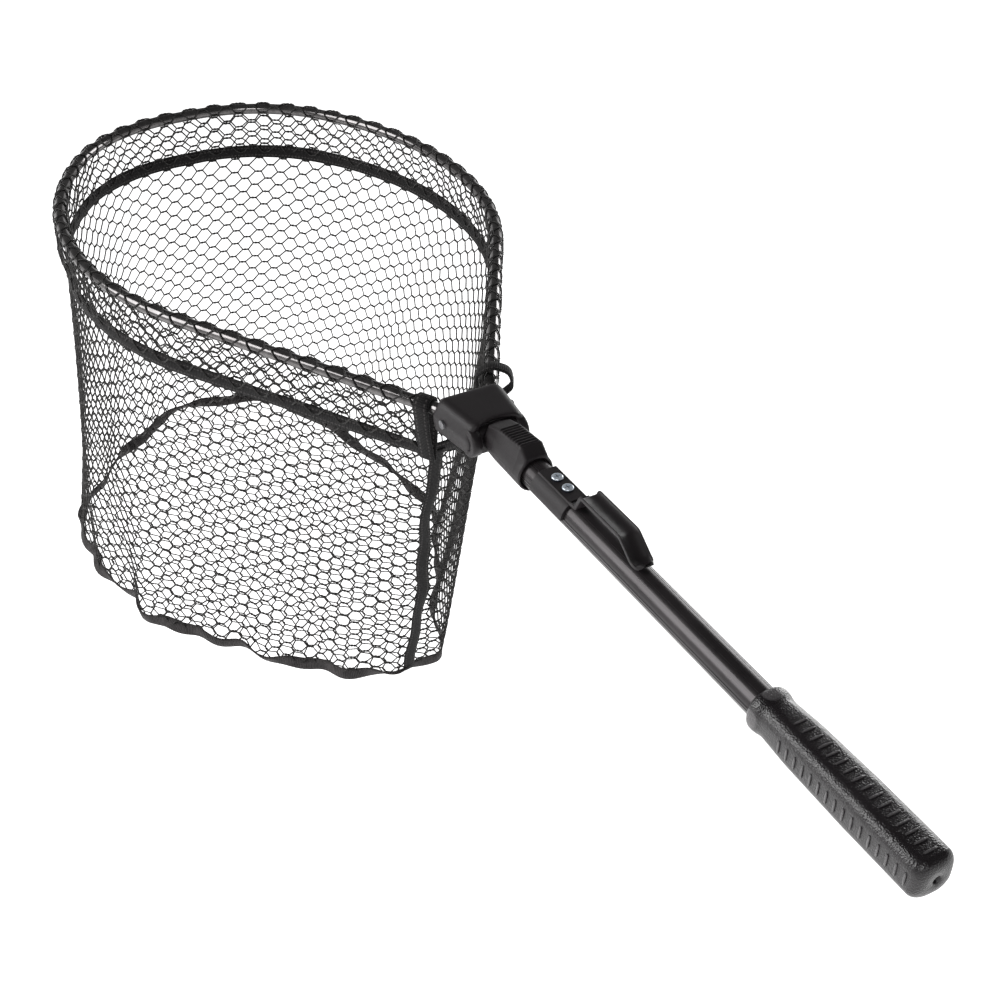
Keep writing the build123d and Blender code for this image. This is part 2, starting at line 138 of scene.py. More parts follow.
class Amount:
    """A shader socket used in sums: each + - * < > or method on it adds one Math node."""

    def __init__(self, finish, socket):
        self.finish = finish
        self.socket = socket

    def maths(self, operation, *values, clamp=False):
        settings = {"operation": operation, "use_clamp": clamp}
        return self.finish.node("ShaderNodeMath", settings, dict(enumerate(values)))

    def __abs__(self):
        return self.maths("ABSOLUTE", self)

    def __lt__(self, other):
        return self.maths("LESS_THAN", self, other)

    def __gt__(self, other):
        return self.maths("GREATER_THAN", self, other)

    def __add__(self, other):
        return self.maths("ADD", self, other)

    def __sub__(self, other):
        return self.maths("SUBTRACT", self, other)

    def __rsub__(self, other):
        return self.maths("SUBTRACT", other, self)

    def __mul__(self, other):
        return self.maths("MULTIPLY", self, other)

    __radd__, __rmul__ = __add__, __mul__

    def larger(self, other):
        return self.maths("MAXIMUM", self, other)

    def sine(self):
        return self.maths("SINE", self)

    def clamped(self):
        return self.maths("ADD", self, 0.0, clamp=True)


class Finish:
    """A material being made. node() adds any node, and the shader's sockets are set with set()."""

    def __init__(self, name):
        self.material, self.shader = add_material(name)
        self.tree = self.material.node_tree

    def put(self, socket, value):
        """Give a socket a number, a colour, or a link from an Amount."""
        if isinstance(value, Amount):
            self.tree.links.new(value.socket, socket)
        elif isinstance(value, tuple) and len(value) == 3 and len(socket.default_value) == 4:
            socket.default_value = (*value, 1)
        else:
            socket.default_value = value

    def node(self, kind, settings, sockets, out=0):
        """Add a node of a kind: its settings first, then its sockets; returns one output."""
        made = self.tree.nodes.new(kind)
        for name, value in settings.items():
            if name == "stops":
                while len(made.color_ramp.elements) < len(value):
                    made.color_ramp.elements.new(0.5)
                for stop, (position, shade) in zip(made.color_ramp.elements, value):
                    stop.position = position
                    stop.color = (*shade, 1)
            else:
                setattr(made, name, value)
        for key, value in sockets.items():
            self.put(made.inputs[key], value)
        return Amount(self, made.outputs[out])

    def set(self, **sockets):
        """Set the shader's sockets: base_color is Base Color, and so on."""
        by_name = {socket.name.lower().replace(" ", "_"): socket for socket in self.shader.inputs}
        for name, value in sockets.items():
            self.put(by_name[name], value)

    def place(self):
        return self.node("ShaderNodeTexCoord", {}, {}, "Object")

    def parts(self, vector):
        """The three numbers of a vector."""
        first = self.node("ShaderNodeSeparateXYZ", {}, {"Vector": vector})
        return [Amount(self, socket) for socket in first.socket.node.outputs]

    def noise(self, scale, detail=3.0, roughness=0.5, vector=None):
        vector = vector or self.place()
        sockets = {"Vector": vector, "Scale": scale, "Detail": detail, "Roughness": roughness}
        return self.node("ShaderNodeTexNoise", {}, sockets)

    def ramp(self, amount, *stops):
        return self.node("ShaderNodeValToRGB", {"stops": stops}, {"Fac": amount})

    def mix(self, share, first, second):
        """Colours mixed by share, from first at 0 to second at 1. Sockets 6 and 7 are the colours."""
        sockets = {"Factor": share, 6: first, 7: second}
        return self.node("ShaderNodeMix", {"data_type": "RGBA"}, sockets, 2)

    def bump(self, height, distance, strength=1.0):
        sockets = {"Height": height, "Distance": distance, "Strength": strength}
        self.put(self.shader.inputs["Normal"], self.node("ShaderNodeBump", {}, sockets))


def dress(name, material):
    """Give a CAD node one material."""
    slots = nodes[name].data.materials
    slots.clear()
    slots.append(material)


def anodised_black():
    """Satin black anodising with faint drawing lines along the tube and dull scuffs."""
    finish = Finish("anodised_black")
    stretched = finish.node("ShaderNodeMapping", {}, {"Vector": finish.place(), "Scale": (14, 900, 900)})
    lines = finish.noise(1.0, 2.0, 0.6, stretched)
    scuffs = finish.noise(38.0, 4.0, 0.6)
    dark, light = (0.024, 0.0208, 0.0222), (0.038, 0.0335, 0.0352)
    finish.set(base_color=finish.ramp(scuffs, (0.3, dark), (0.75, light)))
    finish.set(metallic=0.5, roughness=0.20 + lines * 0.1 + scuffs * 0.08)
    finish.bump(lines, 0.00004, 0.6)
    return finish.material


dress("handle_tube", anodised_black())


# ---- Grip and butt plug ----
# One black plastic moulding over the tube's butt end: a rounded square with a soft flange at the
# front, a row of short raised ribs along each side, a pebbled skin and a small hole in its end.
# The tube's rear is closed inside it by a plug.

GRIP_LENGTH = 0.146
GRIP_HALF = 0.01425
GRIP_CORNER = 0.0085
GRIP_FRONT_HALF = 0.0132
GRIP_TAPER_X = (0.06, 0.13)
ROUNDER_X = (0.110, 0.140)
ROUNDER_BY = 0.0035
FLANGE_X = 0.132
FLANGE_LENGTH = 0.009
FLANGE_RISE = 0.0012
BUTT_ROUND = 0.0070
BUTT_HOLE = (0.0026, 0.012)
BUTT_LIP = (0.0033, 0.0006)
FRONT_TURN_X = (0.1446, 0.1455)
FRONT_TURN_IN = np.array([0.0004, 0.0011, 0.0022])
SOCKET = (0.0110, 0.016)
RIB_X = 0.009 + 0.0071 * np.arange(16)
RIB_HALF = (0.0009, 0.0049, 0.0008)
RIB_BOXINESS = 0.6
RIB_HIGHLIGHT_FROM = 0.00035
RIB_HIGHLIGHT_RISE = 3000


def close_rings(rings):
    """A closed skin over rings of points: quads between neighbours, and a point at each end."""
    first, last = rings[:1].mean(1, keepdims=True), rings[-1:].mean(1, keepdims=True)
    full = np.concatenate([first + 0 * rings[:1], rings, last + 0 * rings[:1]])
    index = np.arange(full.shape[0] * full.shape[1]).reshape(full.shape[:2])
    beside = np.roll(index, -1, 1)
    quads = np.stack([index[:-1], beside[:-1], beside[1:], index[1:]], -1)
    return full.reshape(-1, 3), quads.reshape(-1, 4)


def rounded_square(half, corner, count=9):
    """Points round a square with arcs for corners: each arc swings about its own inset centre."""
    quarter = np.arange(4) * pi / 2
    swing = (quarter[:, None] + np.linspace(0, pi / 2, count)).ravel()
    diagonal = np.stack([np.cos(quarter + pi / 4), np.sin(quarter + pi / 4)], 1)
    centre = np.repeat(diagonal, count, 0) * 2 ** 0.5
    turn = np.stack([np.cos(swing), np.sin(swing)], 1)
    return centre[None] * (half - corner)[:, None, None] + turn[None] * corner[:, None, None]


def grip_rings():
    """The grip's skin as rings along X, from the butt hole's floor over the outside into the socket.

    The side follows a quarter circle at the butt and narrows evenly towards the front, where its
    corners grow rounder, and it rises over the flange on the square of a sine and turns in.
    """
    bend = np.linspace(0, pi / 2, 8)
    butt_x = BUTT_ROUND * (1 - np.sin(bend[::-1]))
    body_x = np.concatenate([np.linspace(0.012, 0.128, 24), np.linspace(0.130, 0.1430, 12)])
    body = np.interp(body_x, GRIP_TAPER_X, [GRIP_HALF, GRIP_FRONT_HALF])
    body = body + FLANGE_RISE * np.sin(np.clip((body_x - FLANGE_X) / FLANGE_LENGTH, 0, 1) * pi / 2) ** 2
    front = body[-1]
    x = np.concatenate([[BUTT_HOLE[1], BUTT_LIP[1], 0], butt_x, body_x, FRONT_TURN_X,
                        [GRIP_LENGTH, GRIP_LENGTH, SOCKET[1]]])
    half = np.concatenate([[BUTT_HOLE[0], BUTT_HOLE[0], BUTT_LIP[0]],
                           GRIP_HALF - BUTT_ROUND * (1 - np.cos(bend[::-1])), body,
                           front - FRONT_TURN_IN, [SOCKET[0], SOCKET[0]]])
    corner = np.minimum(half, GRIP_CORNER + np.interp(x, ROUNDER_X, (0, ROUNDER_BY)))
    corner[:3] = half[:3]
    corner[-2:] = half[-2:]
    section = rounded_square(half, corner)
    return np.concatenate([np.broadcast_to(x[:, None, None], (*section.shape[:2], 1)), section], -1)


def grip_ribs():
    """All the ribs: a long rounded bead, repeated along the grip and turned to each of its sides.

    The bead is an ellipsoid whose sines and cosines are raised to a power under 1, so it is boxy.
    """
    polar = np.linspace(0, pi, 8)[:, None]
    around_rib = np.linspace(0, 2 * pi, 12, endpoint=False)[None]

    def box(wave):
        return np.sign(wave) * np.abs(wave) ** RIB_BOXINESS

    bead = np.stack([RIB_HALF[0] * box(np.sin(polar)) * box(np.cos(around_rib)),
                     RIB_HALF[1] * box(np.cos(polar)) + 0 * around_rib,
                     RIB_HALF[2] * box(np.sin(polar)) * box(np.sin(around_rib))], -1)
    points, quads = close_rings(bead)
    turn = np.arange(4)[:, None] * pi / 2
    x = points[:, 0] + RIB_X[:, None, None]
    out = points[:, 2] + np.interp(x, GRIP_TAPER_X, [GRIP_HALF, GRIP_FRONT_HALF])
    side = points[:, 1]
    y = side * np.cos(turn) - out * np.sin(turn)
    z = side * np.sin(turn) + out * np.cos(turn)
    copies = np.stack([x + 0 * y, y + 0 * x, z + 0 * x], -1).reshape(-1, len(points), 3)
    offset = np.arange(len(copies))[:, None, None] * len(points)
    return copies.reshape(-1, 3), (quads + offset).reshape(-1, 4)


def add_piece(name, body, vertices, quads, material, slot, corner_uv=None, weld=False):
    """A new closed mesh of quads that rides on a body, with its faces turned outwards."""
    a, b, c, d = (vertices[quads[:, n]] for n in range(4))
    volume = (a * np.cross(b, c)).sum() + (a * np.cross(c, d)).sum()
    if volume < 0:
        quads = quads[:, ::-1]
        corner_uv = None if corner_uv is None else corner_uv[:, ::-1]
    mesh = bpy.data.meshes.new(name)
    mesh.vertices.add(len(vertices))
    mesh.vertices.foreach_set("co", vertices.ravel())
    mesh.loops.add(quads.size)
    mesh.loops.foreach_set("vertex_index", quads.ravel())
    mesh.polygons.add(len(quads))
    mesh.polygons.foreach_set("loop_start", np.arange(0, quads.size, 4))
    mesh.update(calc_edges=True)
    if corner_uv is not None:
        mesh.uv_layers.new(name="sewn").data.foreach_set("uv", corner_uv.ravel())
    if weld:
        merged = bmesh.new()
        merged.from_mesh(mesh)
        bmesh.ops.remove_doubles(merged, verts=merged.verts, dist=1e-7)
        merged.to_mesh(mesh)
        merged.free()
    mesh.shade_smooth()
    mesh.materials.append(material)
    piece = bpy.data.objects.new(name, mesh)
    bpy.context.scene.collection.objects.link(piece)
    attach(piece, body)
    return piece


def pebbled_plastic():
    """Glossy black grip plastic with a pebbled skin, and a painted highlight in pale grey on the ribs'
    tops.

    A point's height on a rib is the larger of its two distances from the handle's middle, less
    the grip's own half width there.
    """
    finish = Finish("pebbled_plastic")
    pebbles = finish.node("ShaderNodeTexVoronoi", {"feature": "SMOOTH_F1"},
                          {"Vector": finish.place(), "Scale": 950.0, "Smoothness": 0.35})
    grain = finish.noise(1500.0, 2.0, 0.5)
    worn = finish.noise(30.0, 3.0, 0.5)
    x, y, z = finish.parts(finish.place())
    start, end = GRIP_TAPER_X
    narrowing = ((x - start) * (1 / (end - start))).clamped() * (GRIP_HALF - GRIP_FRONT_HALF)
    proud = abs(y).larger(abs(z)) - GRIP_HALF + narrowing
    # Painted highlight: the rubbed mask picks out the ribs' tops, where a point stands more than a third of
    # a millimetre proud, and the skin there is mixed towards pale grey.
    rubbed = ((proud - RIB_HIGHLIGHT_FROM) * RIB_HIGHLIGHT_RISE).clamped()
    skin = finish.ramp(worn, (0.3, (0.0080, 0.0063, 0.0074)), (0.7, (0.0110, 0.0088, 0.0102)))
    finish.set(base_color=finish.mix(rubbed * 0.8, skin, (0.085, 0.080, 0.083)))
    finish.set(roughness=0.20 + 0.10 * worn + 0.06 * grain)
    finish.bump(pebbles * 0.8 + grain * 0.3, 0.00034, 0.85)
    return finish.material


def join(*parts):
    """Several point and quad arrays as one pair."""
    starts = np.cumsum([0] + [len(points) for points, _ in parts])
    return (np.concatenate([points for points, _ in parts]),
            np.concatenate([quads + start for (_, quads), start in zip(parts, starts)]))


grip = add_piece("grip_moulding", "handle", *join(close_rings(grip_rings()), grip_ribs()),
                 pebbled_plastic(), "grip_plastic", weld=True)
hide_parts("grip")


def moulded_black():
    """Matte black moulded nylon: fine spark-eroded grain and faint flow marks."""
    finish = Finish("moulded_black")
    grain = finish.noise(2200.0, 3.0, 0.6)
    flow = finish.noise(24.0, 3.0, 0.55)
    dark, light = (0.0125, 0.0102, 0.0113), (0.0172, 0.0145, 0.0158)
    finish.set(base_color=finish.ramp(flow, (0.3, dark), (0.75, light)))
    finish.set(roughness=0.36 + 0.1 * flow + 0.08 * grain, specular_ior_level=0.28)
    finish.bump(grain, 0.00012, 0.7)
    return finish.material


nylon = moulded_black()
dress("butt_plug", nylon)


# ---- Clip saddle and belt clip ----
# The saddle is a moulded black cap over the tube's top half, held by two screws. The clip is a
# springy strap moulded on behind it, with raised edges and a curled free end.

CLIP_RINGS = 110
CLIP_END_SHARE = 0.1
CLIP_END_DEPTH = 0.72
CLIP_CORNERS = np.array([(349.2, 12.9), (342.0, 13.6), (336.5, 25.4), (291.5, 25.4), (277.0, 15.0),
                         (271.5, 13.0), (268.9, 15.6)]) / 1000
CLIP_RADII = np.array([0, 2.5, 2.6, 6.0, 4.0, 2.4, 0]) / 1000
CLIP_EDGE = np.array([(7.6, -1.1), (8.0, -0.7), (8.0, 1.4), (7.7, 1.8), (7.1, 1.8), (6.7, 1.4),
                      (6.4, 0.3)]) / 1000
CLIP_SECTION = np.concatenate([CLIP_EDGE, [(0, 0.0003)], CLIP_EDGE[::-1] * (-1, 1), [(0, -0.0011)]])


def rounded_line(corners, radii, count, closed):
    """Evenly spaced points on a line with rounded corners.

    Each corner is an arc tangent to its two sides: it starts one reach before the corner, where
    reach = radius x tan(half the turn), and swings about a centre one radius to the side. The
    arcs' points are joined up, measured and spaced out evenly.
    """
    into = corners - np.roll(corners, 1, axis=0)
    into /= np.linalg.norm(into, axis=1)[:, None]
    away = np.roll(into, -1, axis=0)
    turn = np.arctan2(into[:, 0] * away[:, 1] - into[:, 1] * away[:, 0], (into * away).sum(1))
    start = corners - into * (radii * np.tan(np.abs(turn) / 2))[:, None]
    to_centre = np.stack([-into[:, 1], into[:, 0]], 1) * (np.sign(turn) * radii)[:, None]
    ahead = np.stack([to_centre[:, 1], -to_centre[:, 0]], 1)
    swing = (np.linspace(0, 1, 40) * turn[:, None])[..., None]
    arcs = start[:, None] + to_centre[:, None] * (1 - np.cos(swing)) + ahead[:, None] * np.sin(swing)
    line = arcs.reshape(-1, 2)
    if closed:
        line = np.concatenate([line, line[:1]])
    length = np.concatenate([[0], np.cumsum(np.linalg.norm(np.diff(line, axis=0), axis=1))])
    even = np.linspace(0, length[-1], count)
    return np.stack([np.interp(even, length, line[:, 0]), np.interp(even, length, line[:, 1])], 1)


def unit(vectors):
    """Vectors scaled to length 1, along their last axis."""
    return vectors / np.maximum(np.linalg.norm(vectors, axis=-1, keepdims=True), 1e-12)


def clip_rings():
    """The clip's section carried along its side outline.

    Over the last tenth its width falls as an ellipse's does: the square root of 1 less a share of
    the square of the way to the end.
    """
    line = rounded_line(CLIP_CORNERS, CLIP_RADII, CLIP_RINGS, False)
    along = unit(np.gradient(line, axis=0))
    outward = np.stack([along[:, 1], -along[:, 0]], 1)
    to_end = np.clip(np.linspace(1 - 1 / CLIP_END_SHARE, 1, CLIP_RINGS), 0, 1)
    narrow = np.sqrt(1 - CLIP_END_DEPTH * to_end ** 2)
    across, above = CLIP_SECTION[:, 0], CLIP_SECTION[:, 1]
    x = line[:, :1] + outward[:, :1] * above
    z = line[:, 1:] + outward[:, 1:] * above
    return np.stack([x, narrow[:, None] * across, z], -1)


clip = add_piece("belt_clip_strap", "clip", *close_rings(clip_rings()), nylon, "moulded_plastic", weld=True)
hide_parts("belt_clip")
dress("clip_saddle", nylon)


# ---- Saddle screws ----
# Two pan-head machine screws with cross recesses, zinc plated with a bluish shine. They hold the
# saddle and the clip down on the tube.

SCREW_SHADE_FROM = 0.0005
SCREW_SHADE_RISE = 1400

def bright_zinc():
    """Polished zinc plating, bluish with fine turning marks, with painted shade below the heads' tops."""
    finish = Finish("bright_zinc")
    marks = finish.noise(1800.0, 2.0, 0.6)
    cloud = finish.noise(320.0, 2.0, 0.5)
    height = finish.parts(finish.place())[2]
    # Painted shade: from half a millimetre below the heads' tops, in the cross recesses and down the heads'
    # sides, the plating is mixed towards dark blue-grey.
    below_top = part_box("saddle_screws")[1][2] - height
    painted_screw_shade = ((below_top - SCREW_SHADE_FROM) * SCREW_SHADE_RISE).clamped()
    plating = finish.ramp(cloud, (0.3, (0.62, 0.70, 0.80)), (0.7, (0.84, 0.90, 0.96)))
    finish.set(base_color=finish.mix(painted_screw_shade, plating, (0.03, 0.035, 0.05)))
    finish.set(metallic=0.65, roughness=0.22 + 0.14 * marks)
    finish.bump(marks, 0.00003, 0.5)
    return finish.material


zinc = bright_zinc()
dress("saddle_screws", zinc)


# ---- Lock sleeve ----
# Black moulded thumb sleeve that slides along the tube: a round barrel with a wedge-shaped hump on
# top, ribbed across for the thumb. Its rear mouth is wider than the tube.

SLEEVE_X = (0.403, 0.455)
SLEEVE_HUMP_X = np.array([403, 404, 411, 440, 455]) / 1000
SLEEVE_HUMP_Z = np.array([12.9, 14.2, 20.4, 16.8, 12.4]) / 1000
SLEEVE_BARREL_X = np.array([403, 440, 455]) / 1000
SLEEVE_BARREL_R = np.array([14.2, 13.8, 12.8]) / 1000
SLEEVE_END_ROUND = 0.0014
SLEEVE_HUMP_HALF = 0.0088
SLEEVE_FACET = radians(15.5)
SLEEVE_BORE = 0.0111
SLEEVE_MOUTH = (0.0128, 0.0045)
THUMB_RIBS = (0.4125, 0.4405, 0.0034, 0.0011)
RIB_INSET = 0.0012
RIB_FADE = 0.0006
HUMP_EDGE = 24
BARREL_EDGE = 30


def sleeve_rings():
    """The sleeve's skin as rings along X: over the outside to the front and back through the bore.

    A ring's outer radius is the larger of the barrel's and the hump's, joined as a root of summed
    powers. The hump's is the smaller of the distances to its flat top and to its sloping side,
    joined in the same way. The ribs are a clipped wave along X that fades out at the hump's sides,
    and both ends are rounded on a quarter circle.
    """
    x = np.linspace(*SLEEVE_X, 150)[:, None]
    turn = np.linspace(0, 2 * pi, 96, endpoint=False)[None]
    up, side = np.cos(turn), np.abs(np.sin(turn))
    ends = np.minimum(x - SLEEVE_X[0], SLEEVE_X[1] - x)
    to_edge = 1 - np.clip(ends / SLEEVE_END_ROUND, 0, 1)
    rounding = SLEEVE_END_ROUND * (1 - np.sqrt(1 - to_edge ** 2))
    barrel = np.interp(x, SLEEVE_BARREL_X, SLEEVE_BARREL_R)
    top = np.interp(x, SLEEVE_HUMP_X, SLEEVE_HUMP_Z)
    first, last, pitch, height = THUMB_RIBS
    ribbed = (x > first) & (x < last)
    wave = np.clip(1.6 * np.sin(2 * pi * (x - first) / pitch) + 0.5, 0, 1) * ribbed
    to_top = top / np.maximum(up, 0.05)
    to_side = ((SLEEVE_HUMP_HALF * cos(SLEEVE_FACET) + top * sin(SLEEVE_FACET))
               / np.maximum(side * cos(SLEEVE_FACET) + up * sin(SLEEVE_FACET), 0.05))
    hump = (to_top ** -HUMP_EDGE + to_side ** -HUMP_EDGE) ** (-1 / HUMP_EDGE) * (up > 0)
    outer = (barrel ** BARREL_EDGE + hump ** BARREL_EDGE) ** (1 / BARREL_EDGE)
    on_top = np.clip((SLEEVE_HUMP_HALF - RIB_INSET - side * outer) / RIB_FADE, 0, 1) * (up > 0)
    outer = outer + on_top * height * (wave - 0.4) * ribbed - rounding
    rear, front = SLEEVE_X
    mouth_r, mouth_depth = SLEEVE_MOUTH
    bore_x = np.array([front, rear + mouth_depth + 0.0005, rear + mouth_depth, rear])[:, None]
    bore = np.array([SLEEVE_BORE, SLEEVE_BORE, mouth_r, mouth_r])[:, None] + 0 * turn
    radius, length = np.concatenate([outer, bore]), np.concatenate([x, bore_x]) + 0 * turn
    return np.stack([length, radius * np.sin(turn), radius * np.cos(turn)], -1)


def close_ring_of_rings(rings):
    """A closed tube-shaped skin: quads between neighbouring rings, and from the last to the first."""
    index = np.arange(rings.shape[0] * rings.shape[1]).reshape(rings.shape[:2])
    beside, ahead = np.roll(index, -1, 1), np.roll(index, -1, 0)
    quads = np.stack([index, beside, np.roll(beside, -1, 0), ahead], -1)
    return rings.reshape(-1, 3), quads.reshape(-1, 4)


sleeve = add_piece("lock_sleeve_moulding", "sleeve", *close_ring_of_rings(sleeve_rings()), nylon,
                   "moulded_plastic")
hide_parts("lock_sleeve")


# ---- Head, knuckle and pivot ----
# The head is one black moulding, an upturned channel with soft edges and a round lobe at each
# side. It folds on a blackened steel pin through the knuckle, which is riveted into the tube. A
# small bright screw holds each end of the hoop in it.

HEAD_X = (0.4565, 0.4995)
HEAD_TOP = 0.0136
HEAD_BOTTOM = -0.0112
HEAD_REAR = (0.0200, 0.0246, 0.0222)
HEAD_FRONT = (0.0245, 0.0306, 0.0288)
HEAD_WAIST = 0.0015
HEAD_RADII = np.array([0, 7, 8, 8, 7, 0]) / 1000
HEAD_CHANNEL = (0.0156, 0.0112)
HEAD_END_ROUND = 0.0042
HEAD_DRAW = (0.8, 0.45)
HEAD_ARCH = 0.0032
HEAD_ARCH_HALF = 0.0165
HEAD_ARCH_FROM = 0.006
LOBE_PIVOT = (0.460, -0.002)
LOBE_PROFILE = np.array([(15.7, 0), (15.7, 10.2), (16.4, 11), (21.6, 11), (22.6, 10.6), (23.3, 9.4),
                         (23.3, 6.2), (23.0, 5.7), (21.8, 5.4), (21.8, 0)]) / 1000


def head_rings():
    """The head's skin as U-shaped rings along X: each goes over the outside and back inside.

    The outside is a six-sided outline with rounded corners, which widens evenly from rear to front
    and draws in along a quarter circle at both ends. The rear edge is arched over the sleeve.
    """
    share = np.concatenate([[0, 0.01, 0.03, 0.06, 0.1], np.linspace(0.15, 0.85, 12),
                            [0.9, 0.94, 0.97, 0.99, 1]])
    rings = []
    for at in share:
        top, waist, bottom = (rear + at * (front - rear) for rear, front in zip(HEAD_REAR, HEAD_FRONT))
        x = HEAD_X[0] + at * (HEAD_X[1] - HEAD_X[0])
        to_end = min(x - HEAD_X[0], HEAD_X[1] - x)
        depth = max(0, 1 - to_end / HEAD_END_ROUND)
        draw_in = 0.6 * HEAD_END_ROUND * (1 - (1 - depth ** 2) ** 0.5)
        half = [(-bottom, HEAD_BOTTOM), (-waist, HEAD_WAIST), (-top, HEAD_TOP)]
        corners = np.array(half + [(-y, z) for y, z in half[::-1]])
        corners -= np.sign(corners) * draw_in * HEAD_DRAW
        outer = rounded_line(corners, HEAD_RADII, 61, False)
        y_in, z_in = HEAD_CHANNEL
        foot = HEAD_BOTTOM + draw_in * HEAD_DRAW[1]
        channel = np.array([(-y_in, foot), (-y_in, z_in), (y_in, z_in), (y_in, foot)])
        inner = rounded_line(channel, np.array([0, 3, 3, 0]) / 1000, 61, False)
        ring = np.concatenate([outer, inner[::-1]])
        arched = np.clip(1 - (ring[:, 0] / HEAD_ARCH_HALF) ** 2, 0, 1) * (ring[:, 1] > HEAD_ARCH_FROM)
        rings.append(np.column_stack([x + HEAD_ARCH * arched * (1 - at) ** 6, ring]))
    return np.array(rings)


def close_channel(rings):
    """A closed skin over U-shaped rings, with each end filled between its outer and inner line."""
    points, quads = close_ring_of_rings(rings)
    quads = quads.reshape(*rings.shape[:2], 4)[:-1].reshape(-1, 4)
    count = rings.shape[1] // 2
    outer = np.arange(count - 1)
    inner = 2 * count - 1 - outer
    cap = np.stack([outer, inner, inner - 1, outer + 1], -1)
    return points, np.concatenate([quads, cap, cap[:, ::-1] + len(points) - 2 * count])


def lobe(side):
    """A round cheek lobe: its profile, out along the pivot and away from it, spun about the pivot."""
    turn = np.linspace(0, 2 * pi, 48, endpoint=False)[None]
    out, away = LOBE_PROFILE[:, :1], LOBE_PROFILE[:, 1:]
    rings = np.stack([LOBE_PIVOT[0] + away * np.cos(turn), side * out + 0 * turn,
                      LOBE_PIVOT[1] + side * away * np.sin(turn)], -1)
    return close_rings(rings)


for name, skin, weld in (("head_moulding", close_channel(head_rings()), False),
                         ("head_lobe_left", lobe(1), True), ("head_lobe_right", lobe(-1), True)):
    piece = add_piece(name, "head", *skin, nylon, "moulded_plastic", weld=weld)
    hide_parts("head_block")


def dark_steel():
    """Blackened steel, satin, with lighter rubbed spots."""
    finish = Finish("dark_steel")
    rubbed = finish.noise(420.0, 3.0, 0.6)
    dark, light = (0.020, 0.020, 0.022), (0.075, 0.075, 0.078)
    finish.set(base_color=finish.ramp(rubbed, (0.4, dark), (0.75, light)))
    finish.set(metallic=0.85, roughness=0.34 + 0.2 * rubbed)
    finish.bump(rubbed, 0.00003, 0.5)
    return finish.material


blackened = dark_steel()
for name in ("knuckle_rivet", "pivot_pin", "pivot_bushes"):
    dress(name, blackened)
dress("knuckle", nylon)


def dulled_zinc():
    """Zinc plating that has gone dull grey."""
    finish = Finish("dulled_zinc")
    cloud = finish.noise(420.0, 3.0, 0.6)
    finish.set(base_color=finish.ramp(cloud, (0.3, (0.10, 0.10, 0.105)), (0.7, (0.30, 0.30, 0.31))))
    finish.set(metallic=0.8, roughness=0.28 + 0.15 * cloud)
    finish.bump(cloud, 0.00003, 0.5)
    return finish.material


dress("arm_screws", dulled_zinc())


# ---- Hoop ----
# One bent aluminium tube, polished before it was anodised black, with its ends in the head.

def polished_black():
    """Bright-dipped black anodising: a narrow gloss along the tube and fine rub marks."""
    finish = Finish("polished_black")
    rubs = finish.noise(160.0, 4.0, 0.65)
    finish.set(base_color=finish.ramp(rubs, (0.35, (0.10, 0.096, 0.096)), (0.75, (0.17, 0.162, 0.162))))
    finish.set(metallic=0.85, roughness=0.10 + 0.10 * rubs)
    finish.bump(rubs, 0.00003, 0.4)
    return finish.material


dress("hoop_tube", polished_black())


# ---- Wall net ----
# The bag's wall is black knotless netting: each thread zigzags round the bag and is twisted with
# its neighbour wherever they meet, which makes hexagons. Its top row is sewn into the skirt tape,
# its bottom row into the hem, and its two ends under the seam tape.

MOUTH_LEFT = np.array([(518, 14.7), (518, 23), (770.6, 181), (941.2, 181), (1071.5, 79.3)]) / 1000
MOUTH_CORNERS = np.concatenate([MOUTH_LEFT, MOUTH_LEFT[:0:-1] * (1, -1)])
MOUTH_RADII = np.array([0, 10, 264, 274, 141, 141, 274, 264, 10]) / 1000
HEM_CORNERS = np.array([(586, 6), (586, 20), (735, 175), (930, 213), (1085, 30), (1045, -55), (955, -98),
                        (800, -130), (586, -28)]) / 1000
HEM_RADII = np.array([0, 12, 150, 110, 45, 60, 120, 120, 12]) / 1000
SKIRT_TAPE_Z = -0.045
HEM_Z = -0.330
HEM_LOW_PLACE = (0.095, 0.06)
HEM_LOW_BY = 0.0100
CRIMP_PLACE = (0.17, 0.15)
CRIMP_ELSEWHERE = 0.25
OUTLINE_ROWS = 25
OUTLINE_POINTS = 1201
WALL_COLUMNS = 120
WALL_LEVELS = 40
THREAD_R = 0.00070
TWIST_R = 0.00052
BAR_SHARE = 0.57
BAR_STEPS = 7
MESH_JITTER = 0.035


def waves(u, *parts):
    """Sum of sine waves in u: each part gives a wave's height, its count and its start in turns."""
    return sum(height * np.sin(2 * pi * (count * u + start)) for height, count, start in parts)


